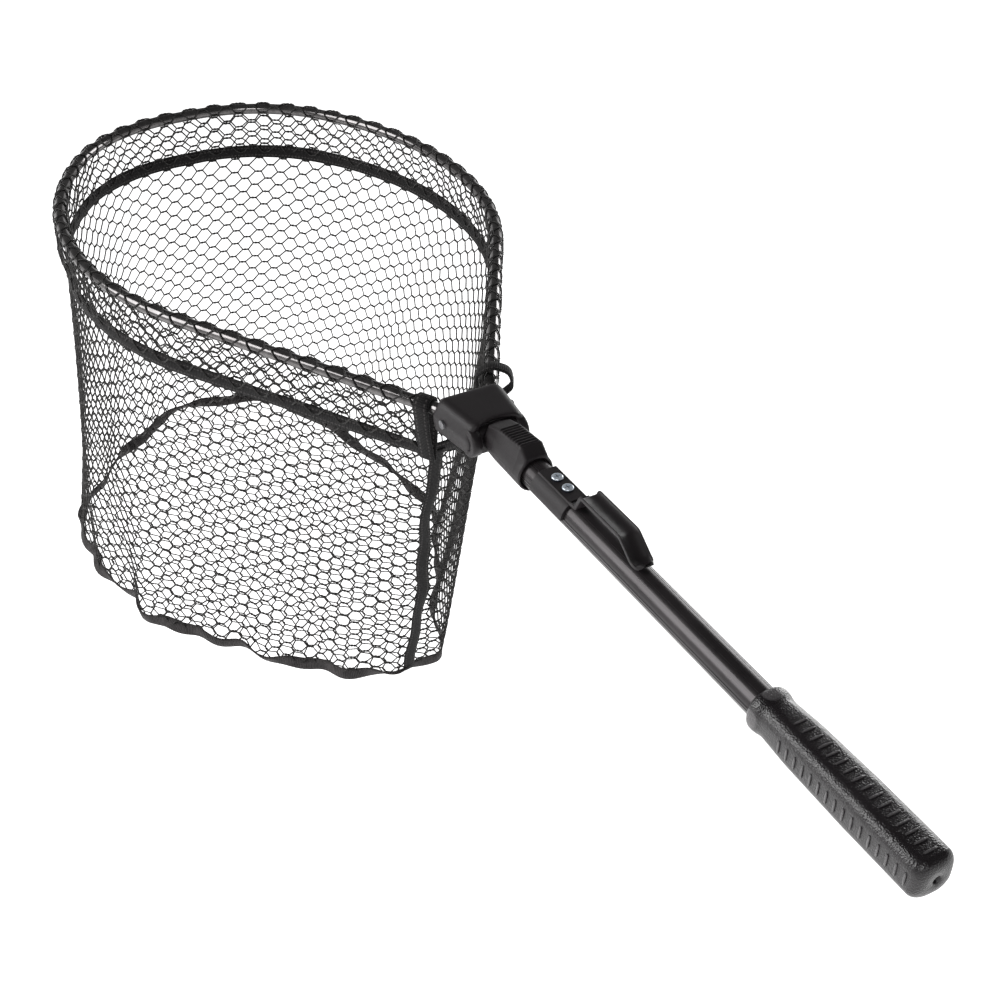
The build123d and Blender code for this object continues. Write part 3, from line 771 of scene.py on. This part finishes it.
def outline_table():
    """The wall as a grid of points: rows from the skirt tape down to the hem, columns round it.

    A row's corners and radii lie between the mouth's and the hem's in step with its depth. Slow
    waves, which grow towards the hem, push each point out or in and up or down. Quick small ones
    crimp the hem, and there is a low place in it: both are strongest on the left, where a bell
    curve in u peaks.
    """
    share = np.linspace(0, 1, OUTLINE_ROWS)
    rows = [rounded_line(MOUTH_CORNERS + s * (HEM_CORNERS - MOUTH_CORNERS),
                         MOUTH_RADII + s * (HEM_RADII - MOUTH_RADII), OUTLINE_POINTS, True) for s in share]
    flat = np.stack(rows)
    along = unit(np.gradient(flat, axis=1))
    u = np.linspace(0, 1, OUTLINE_POINTS)[None, :]
    v = share[:, None]
    low, wavy = (np.exp(-((u - place) / reach) ** 2) for place, reach in (HEM_LOW_PLACE, CRIMP_PLACE))
    crimp = (wavy + CRIMP_ELSEWHERE) * v ** 5 * waves(u, (0.0024, 19, 0.3), (0.0013, 31, 0.8))
    swell = v * waves(u, (0.0028, 5, 0.1), (0.0020, 13, 0.37 + 2.5 / (2 * pi) * v))
    swell = swell + np.sin(pi * v) * waves(u, (0.0025, 3, 0.6)) + crimp
    heave = v * (waves(u, (0.0020, 7, 0.2)) - HEM_LOW_BY * low * v) + np.roll(crimp, 14, 1) * 0.7
    x = flat[..., 0] - along[..., 1] * swell
    y = flat[..., 1] + along[..., 0] * swell
    z = SKIRT_TAPE_Z + (HEM_Z - SKIRT_TAPE_Z) * v + heave
    return np.stack([x, y, z], -1)


wall_table = outline_table()


def wall_surface(u, v):
    """Point of the wall at u round the bag, from seam to seam, and v down it, from tape to hem.

    The four nearest points of the wall's grid are mixed by how near each is.
    """
    column = np.clip(u, 0, 1) * (OUTLINE_POINTS - 1)
    row = np.clip(v, 0, 1) * (OUTLINE_ROWS - 1)
    i = np.minimum(column.astype(int), OUTLINE_POINTS - 2)
    j = np.minimum(row.astype(int), OUTLINE_ROWS - 2)
    a, b = (column - i)[..., None], (row - j)[..., None]
    upper = wall_table[j, i] * (1 - a) + wall_table[j, i + 1] * a
    lower = wall_table[j + 1, i] * (1 - a) + wall_table[j + 1, i + 1] * a
    return upper * (1 - b) + lower * b


def surface_frame(surface, u, v, step=0.002):
    """Point of a surface with its unit normal and its unit direction down, from close neighbours."""
    point = surface(u, v)
    across = surface(np.minimum(u + step, 1), v) - surface(np.maximum(u - step, 0), v)
    down = unit(surface(u, np.minimum(v + step, 1)) - surface(u, np.maximum(v - step, 0)))
    return point, unit(np.cross(across, down)), down


def net_threads(surface, columns, levels, first, last, seed, slant_steps=1):
    """Threads of knotless net on a surface, from column first to column last.

    Thread j goes from level j to level j + 1 and back, so at column k it is at level
    j + ((j + k) mod 2). There it shares a bar with its neighbour and both wind once round the
    bar's middle, on opposite sides. Between bars it runs straight from one level to the next.
    Every bar is shifted by a small random amount, the same for both of its threads.
    """
    drift = np.random.default_rng(seed).normal(0, MESH_JITTER, (2, levels + 1, columns + 2))
    j = np.arange(levels)[:, None, None]
    k = np.arange(first, last + 1)[None, :, None]
    slant = np.linspace(BAR_SHARE / 2, 0.5, slant_steps + 1)[1:]
    bar = np.linspace(-BAR_SHARE / 2, BAR_SHARE / 2, BAR_STEPS)
    f = np.concatenate([-slant[::-1], bar, slant[:-1]])[None, None]
    level = j + (j + k) % 2
    beside = np.clip(k + np.where(f < 0, -1, 1), 0, columns)
    next_level = j + (j + k + 1) % 2
    away = np.clip((np.abs(f) - BAR_SHARE / 2) / (1 - BAR_SHARE), 0, 0.5)
    side = np.where(level == j, 1.0, -1.0) * (1 - 2 * away)
    winding = np.clip(f / BAR_SHARE + 0.5, 0, 1) * 2 * pi
    shift = drift[:, level, k] * (1 - away) + drift[:, next_level, beside] * away
    u = (k + f + shift[0]) / columns
    v = (level + (next_level - level) * away + shift[1]) / levels
    u, v = (grid.reshape(levels, -1) for grid in (u, v))
    point, normal, down = surface_frame(surface, u, v)
    reach = (side * TWIST_R * np.cos(winding)).reshape(levels, -1, 1)
    proud = (side * TWIST_R * np.sin(winding)).reshape(levels, -1, 1)
    return point + reach * down + proud * normal, normal


def tubes(points, normals, radius, keep=None, sides=4):
    """Thin closed tubes along rows of points: a ring of corners round each point, joined in order.

    Where keep is false there is no tube, and each run of kept points is closed at both ends.
    """
    if keep is None:
        keep = np.ones(points.shape[:2], bool)
    along = unit(np.gradient(points, axis=1))
    across = unit(np.cross(along, normals))
    above = np.cross(across, along)
    turn = np.arange(sides) * 2 * pi / sides
    rings = points[:, :, None] + radius * (np.cos(turn)[:, None] * above[:, :, None]
                                           + np.sin(turn)[:, None] * across[:, :, None])
    index = (np.cumsum(keep.ravel()) - 1).reshape(keep.shape)[..., None] * sides + np.arange(sides)
    beside = np.roll(index, -1, axis=2)
    joined = keep[:, :-1] & keep[:, 1:]
    walls = np.stack([index[:, :-1], beside[:, :-1], beside[:, 1:], index[:, 1:]], -1)[joined]
    edge = np.zeros((len(keep), 1), bool)
    starts = keep & ~np.concatenate([edge, keep[:, :-1]], 1)
    ends = keep & ~np.concatenate([keep[:, 1:], edge], 1)
    quads = np.concatenate([walls.reshape(-1, 4), index[starts][:, ::-1], index[ends]])
    return rings[keep].reshape(-1, 3), quads


def black_twine():
    """Spun black twine: near-black with dusty grey fibres, a soft sheen and fine strands."""
    finish = Finish("black_twine")
    tint = finish.noise(60.0, 3.0, 0.6)
    fibres = finish.noise(2600.0, 2.0, 0.6)
    dark, light = (0.009, 0.0084, 0.0083), (0.031, 0.029, 0.028)
    finish.set(base_color=finish.ramp(tint, (0.3, dark), (0.7, light)))
    finish.set(roughness=0.5 + 0.25 * fibres, specular_ior_level=0.3)
    finish.set(sheen_weight=0.05, sheen_roughness=0.4)
    finish.bump(fibres, 0.0001, 0.7)
    return finish.material


def lay_bag_flat(piece):
    """Gives the piece its own copy of its mesh data."""
    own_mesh(piece)


twine = black_twine()
third = WALL_COLUMNS // 3
for number, part in enumerate(("near", "front", "far")):
    threads = net_threads(wall_surface, WALL_COLUMNS, WALL_LEVELS, third * number, third * (number + 1), 11)
    wall = add_piece("wall_net_" + part, "head", *tubes(*threads, THREAD_R), twine, "net_twine")
    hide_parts("wall_net")
    lay_bag_flat(wall)


# ---- Skirt net ----
# A double strip of the same net, folded over the hoop from one binding to the other. Both edges
# are sewn into the skirt tape, which holds the bag on the hoop.

HOOP_LEFT = np.array([(505, 21.8), (770.6, 181), (941.2, 181), (1071.5, 79.3)]) / 1000
HOOP_CORNERS = np.concatenate([HOOP_LEFT, HOOP_LEFT[::-1] * (1, -1)])
HOOP_RADII = np.array([0, 264, 274, 141, 141, 274, 264, 0]) / 1000
SKIRT_START = (0.517, 0.0285)
SKIRT_END = (0.517, -0.0285)
SKIRT_R = 0.0058
SKIRT_EDGE = 0.0013
SKIRT_COLUMNS = 113
SKIRT_LEVELS = 15


def skirt_profile():
    """Section of the skirt, outward and up from the hoop's middle: leg, half circle and leg."""
    swing = np.linspace(0, pi, 15)
    outward = np.concatenate([[SKIRT_EDGE], SKIRT_R * np.cos(swing), [-SKIRT_EDGE]])
    up = np.concatenate([[SKIRT_TAPE_Z], SKIRT_R * np.sin(swing), [SKIRT_TAPE_Z]])
    length = np.concatenate([[0], np.cumsum(np.hypot(np.diff(outward), np.diff(up)))])
    return length / length[-1], outward, up


profile_share, profile_out, profile_up = skirt_profile()
hoop_line = rounded_line(HOOP_CORNERS, HOOP_RADII, OUTLINE_POINTS, False)
mouth_line = rounded_line(MOUTH_CORNERS, MOUTH_RADII, OUTLINE_POINTS, True)


def stretch(line, start, end):
    """The part of a line from near one point to near another, evenly spaced out again."""
    first, last = (np.argmin(np.linalg.norm(line - point, axis=1)) for point in (start, end))
    step = np.linspace(first, last, OUTLINE_POINTS)
    return np.stack([np.interp(step, np.arange(len(line)), line[:, n]) for n in (0, 1)], 1)


skirt_hoop = stretch(hoop_line, SKIRT_START, SKIRT_END)
skirt_foot = stretch(mouth_line, SKIRT_START, SKIRT_END)
skirt_out = unit(np.gradient(skirt_hoop, axis=0))[:, ::-1] * (-1, 1)
skirt_share = np.linspace(0, 1, OUTLINE_POINTS)


def skirt_surface(u, v):
    """Point of the skirt at u along the hoop and v across the strip, from outside over to inside.

    The section's outward and upward distances are carried along a line that slides from the
    hoop's to the tape's as it goes down. Slow waves move the hanging part of each leg a little.
    """
    outward = np.interp(v, profile_share, profile_out)
    up = np.interp(v, profile_share, profile_up)
    drop = np.clip(up / SKIRT_TAPE_Z, 0, 1)
    ripple = waves(u, (0.0016, 13, 8 / (2 * pi) * v), (0.0010, 31, 3 / (2 * pi) * v))
    outward = outward + 4 * drop * (1 - drop) * ripple
    hoop, foot, out = ([np.interp(u, skirt_share, line[:, n]) for n in (0, 1)]
                       for line in (skirt_hoop, skirt_foot, skirt_out))
    x, y = (hoop[n] + (foot[n] - hoop[n]) * drop + out[n] * outward for n in (0, 1))
    return np.stack([x, y, up], -1)


threads = net_threads(skirt_surface, SKIRT_COLUMNS, SKIRT_LEVELS, 0, SKIRT_COLUMNS, 12, 2)
skirt = add_piece("skirt_net_threads", "head", *tubes(*threads, THREAD_R), twine, "net_twine")
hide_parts("skirt_net")
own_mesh(skirt)


# ---- Bottom net ----
# One flat panel of the same net, sewn into the hem all round. It hangs a little below it.

BOTTOM_SAG = 0.014
BOTTOM_BOX = ((0.570, -0.142), (1.095, 0.222))
BOTTOM_COLUMNS = 43
BOTTOM_LEVELS = 52

hem_line = wall_table[-1]
bag_middle = hem_line[:-1].mean(0)
hem_spoke = hem_line[::-1] - bag_middle
hem_angle = np.unwrap(np.arctan2(hem_spoke[:, 1], hem_spoke[:, 0]))


def from_middle(x, y):
    """A point's share of the way from the panel's middle to the hem, and the hem's height there."""
    angle = np.arctan2(y - bag_middle[1], x - bag_middle[0])
    angle = hem_angle[0] + (angle - hem_angle[0]) % (2 * pi)
    edge = np.interp(angle, hem_angle, np.hypot(hem_spoke[:, 0], hem_spoke[:, 1]))
    height = np.interp(angle, hem_angle, hem_line[::-1, 2])
    return np.hypot(x - bag_middle[0], y - bag_middle[1]) / edge, height


def bottom_surface(u, v):
    """Point of the bottom panel: it follows the hem at its edge and sags with the square inside."""
    (x0, y0), (x1, y1) = BOTTOM_BOX
    x, y = x0 + u * (x1 - x0), y0 + v * (y1 - y0)
    share, height = from_middle(x, y)
    inside = np.minimum(share, 1)
    z = HEM_Z + (height - HEM_Z) * inside ** 4 - BOTTOM_SAG * (1 - inside ** 2)
    return np.stack([x, y, z], -1)


threads, normals = net_threads(bottom_surface, BOTTOM_COLUMNS, BOTTOM_LEVELS, 0, BOTTOM_COLUMNS, 13)
inside_hem = from_middle(threads[..., 0], threads[..., 1])[0] < 1.0
bottom = add_piece("bottom_net_threads", "head", *tubes(threads, normals, THREAD_R, inside_hem), twine,
                   "net_twine")
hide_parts("bottom_net")
lay_bag_flat(bottom)


# ---- Skirt tape and hem tape ----
# Woven black tape, folded over the net's edges and sewn through with two rows of stitches: one
# ring under the skirt, and a narrower one round the bag's bottom edge, rubbed grey and crumpled.

TAPE_WIDTH = 0.0125
HEM_WIDTH = 0.0105
HEM_DUST = 6
STITCH_ROW = 0.0036
STITCH_HALF = 0.0006
STITCH_PITCH = 0.0034
TAPE_GAUGE = 0.0018
TAPE_STEPS = 700


def ribbon(middle, outward, up, width, gauge, closed):
    """Flat tape along a path, as points, quads and each quad corner's place in the weave.

    The section is a rectangle with cut corners, width tall along up and gauge thick along
    outward. The weave's first number is metres along the tape and its second is metres across.
    """
    w, g, cut = width / 2, gauge / 2, gauge / 4
    across = np.array([w - cut, -w + cut, -w, -w, -w + cut, w - cut, w, w])
    thick = np.array([g, g, g - cut, cut - g, -g, -g, cut - g, g - cut])
    grid = middle[:, None] + thick[:, None] * outward[:, None] + across[:, None] * up[:, None]
    rows, sides = grid.shape[:2]
    index = np.arange(rows * sides).reshape(rows, sides)
    ahead = np.roll(index, -1, axis=0) if closed else index[1:]
    index_here = index if closed else index[:-1]
    quads = np.stack([index_here, np.roll(index_here, -1, 1), np.roll(ahead, -1, 1), ahead], -1)
    step = np.linalg.norm(np.diff(middle, axis=0, append=middle[:1]), axis=1)
    start = np.cumsum(step) - step
    along_u = np.stack([start, start, start + step, start + step], -1)[:len(quads), None, :]
    beside = np.stack([across, np.roll(across, -1), np.roll(across, -1), across], -1)[None]
    uv = np.stack([along_u + 0 * beside, beside + 0 * along_u], -1)
    quads, uv = quads.reshape(-1, 4), uv.reshape(-1, 4, 2)
    if not closed:
        first, last = index[0], index[-1]
        ends = np.array([[7, 2, 1, 0], [7, 6, 3, 2], [6, 5, 4, 3]])
        quads = np.concatenate([quads, first[ends], last[ends][:, ::-1]])
        uv = np.concatenate([uv, np.zeros((6, 4, 2))])
    return grid.reshape(-1, 3), quads, uv


def black_webbing(name, dust):
    """Woven black tape: fine ribs across it and two rows of stitching; dust makes it greyer."""
    finish = Finish(name)
    weave = finish.node("ShaderNodeUVMap", {"uv_map": "sewn"}, {})
    ribs = finish.node("ShaderNodeTexWave", {"bands_direction": "X"},
                       {"Vector": weave, "Scale": 200.0, "Distortion": 1.2, "Detail": 2.0,
                        "Detail Scale": 2.0})
    yarns = finish.node("ShaderNodeTexWave", {"bands_direction": "Y"},
                        {"Vector": weave, "Scale": 260.0, "Distortion": 0.6, "Detail": 1.0})
    tint = finish.noise(90.0, 4.0, 0.6)
    cloth = ribs * 0.7 + yarns * 0.3
    along, across, _ = finish.parts(weave)
    in_row = abs(abs(across) - STITCH_ROW) < STITCH_HALF
    stitches = in_row * ((along * (2 * pi / STITCH_PITCH)).sine() > -0.2)
    pale = (0.013 * dust, 0.012 * dust, 0.0122 * dust)
    fabric = finish.ramp(tint * 0.6 + cloth * 0.4, (0.25, (0.0022, 0.002, 0.0021)), (0.8, pale))
    finish.set(base_color=finish.mix(stitches * 0.9, fabric, (0.046, 0.042, 0.042)))
    finish.set(roughness=0.74, specular_ior_level=0.16, sheen_weight=0.03, sheen_roughness=0.5)
    finish.bump(cloth + stitches * 0.9, 0.0004, 0.9)
    return finish.material


webbing = black_webbing("black_webbing", 1)
rubbed_webbing = black_webbing("rubbed_webbing", HEM_DUST)
around = np.linspace(0, 1, TAPE_STEPS, endpoint=False)


def add_tape(name, node, v, twist, width, material):
    """A ring of tape on the wall at height v; it leans over by the twist angle as it goes round."""
    middle, normal, down = surface_frame(wall_surface, around, np.full(TAPE_STEPS, v))
    lean = twist * waves(around, (1.0, 9, 1.0 / (2 * pi)), (0.6, 21, 0))[:, None]
    outward = normal * np.cos(lean) + down * np.sin(lean)
    upward = np.cross(outward, unit(np.gradient(middle, axis=0)))
    points, quads, weave = ribbon(middle, outward, unit(upward), width, TAPE_GAUGE, True)
    tape = add_piece(name, "head", points, quads, material, "tape_webbing", weave)
    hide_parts(node)
    lay_bag_flat(tape)


add_tape("skirt_tape_woven", "skirt_tape", 0.0, 0.05, TAPE_WIDTH, webbing)
add_tape("hem_tape_woven", "hem_tape", 1.0, 0.5, HEM_WIDTH, rubbed_webbing)


# ---- Seam tape ----
# A strip of the same tape sewn down the outside of the bag, over the line where the wall net's
# two ends meet. It is a little crooked, and rubbed thin at its edges.

SEAM_WIDTH = 0.0105
SEAM_STEPS = 90

down_seam = np.linspace(0, 1, SEAM_STEPS)
seam_line, seam_out, seam_down = surface_frame(wall_surface, np.zeros(SEAM_STEPS), down_seam)
seam_out = -seam_out if seam_out[0, 0] > 0 else seam_out
seam_side = unit(np.cross(seam_down, seam_out))
held = np.sin(pi * down_seam)
wander = (0.0035 * held * np.sin(2.2 * pi * down_seam) + 0.0010 * np.sin(9 * pi * down_seam))[:, None]
roll = (0.35 * held * np.sin(4.4 * pi * down_seam + 0.5))[:, None]
seam_line = seam_line + seam_out * 0.0012 + seam_side * wander
points, quads, weave = ribbon(seam_line, seam_out * np.cos(roll) + seam_side * np.sin(roll),
                              seam_side * np.cos(roll) - seam_out * np.sin(roll), SEAM_WIDTH,
                              TAPE_GAUGE, False)
seam = add_piece("seam_tape_woven", "head", points, quads, webbing, "tape_webbing", weave)
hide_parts("seam_tape")
lay_bag_flat(seam)


# ---- Bindings ----
# A stitched webbing loop round each arm of the hoop, at the skirt's two ends. The left one is
# pulled down flat over the skirt's end, and the right one stands open round its arm.

BINDING_GAUGE = 0.0022
BINDING_STEPS = 96
LEFT_X = 0.5145
LEFT_LOOP = np.array([(1.3, -47), (5.4, -22), (7.4, 3.5), (0, 8.2), (-7.2, 3.5), (-5.2, -22),
                      (-1.3, -47)]) / 1000
LEFT_RADII = np.array([1, 20, 6, 7, 6, 20, 1]) / 1000
RIGHT_X = 0.5250
RIGHT_WIDTH = 0.0105
RIGHT_LOOP = np.array([(-9, -17), (-11.5, 3), (0, 12.5), (14, 7), (17, -7), (8, -17)]) / 1000
RIGHT_RADII = np.array([7, 9, 10, 9, 9, 8]) / 1000

arm_x, arm_y = HOOP_CORNERS[0]
arm_run, arm_spread = HOOP_CORNERS[1] - HOOP_CORNERS[0]
arm_slope = np.arctan2(arm_spread, arm_run)


def arm_frame(side, x):
    """Middle of an arm at x, its direction forward and its direction outward."""
    forward = np.array([cos(arm_slope), side * sin(arm_slope), 0])
    outward = np.array([-sin(arm_slope), side * cos(arm_slope), 0])
    middle = np.array([x, side * (arm_y + (x - arm_x) * arm_spread / arm_run), 0])
    return middle, forward, outward


def add_binding(name, node, side, x, loop, radii, width, lean):
    """A closed loop of webbing square to the arm: its outline is the loop's corners, rounded."""
    middle, forward, outward = arm_frame(side, x)
    line = rounded_line(loop, radii, BINDING_STEPS + 1, True)[:-1]
    along = unit(np.roll(line, -1, 0) - np.roll(line, 1, 0))
    away = np.stack([along[:, 1], -along[:, 0]], 1)
    up = np.array([0, 0, 1.0])
    points = middle + line[:, :1] * outward + line[:, 1:] * up + forward * (lean * line[:, 1:])
    facing = away[:, :1] * outward + away[:, 1:] * up
    points, quads, weave = ribbon(points, facing, forward + 0 * points, width, BINDING_GAUGE, True)
    binding = add_piece(name, "head", points, quads, webbing, "tape_webbing", weave)
    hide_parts(node)
    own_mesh(binding)


add_binding("binding_left_loop", "binding_left", 1, LEFT_X, LEFT_LOOP, LEFT_RADII, TAPE_WIDTH, 0.06)
add_binding("binding_right_loop", "binding_right", -1, RIGHT_X, RIGHT_LOOP, RIGHT_RADII, RIGHT_WIDTH, -0.15)
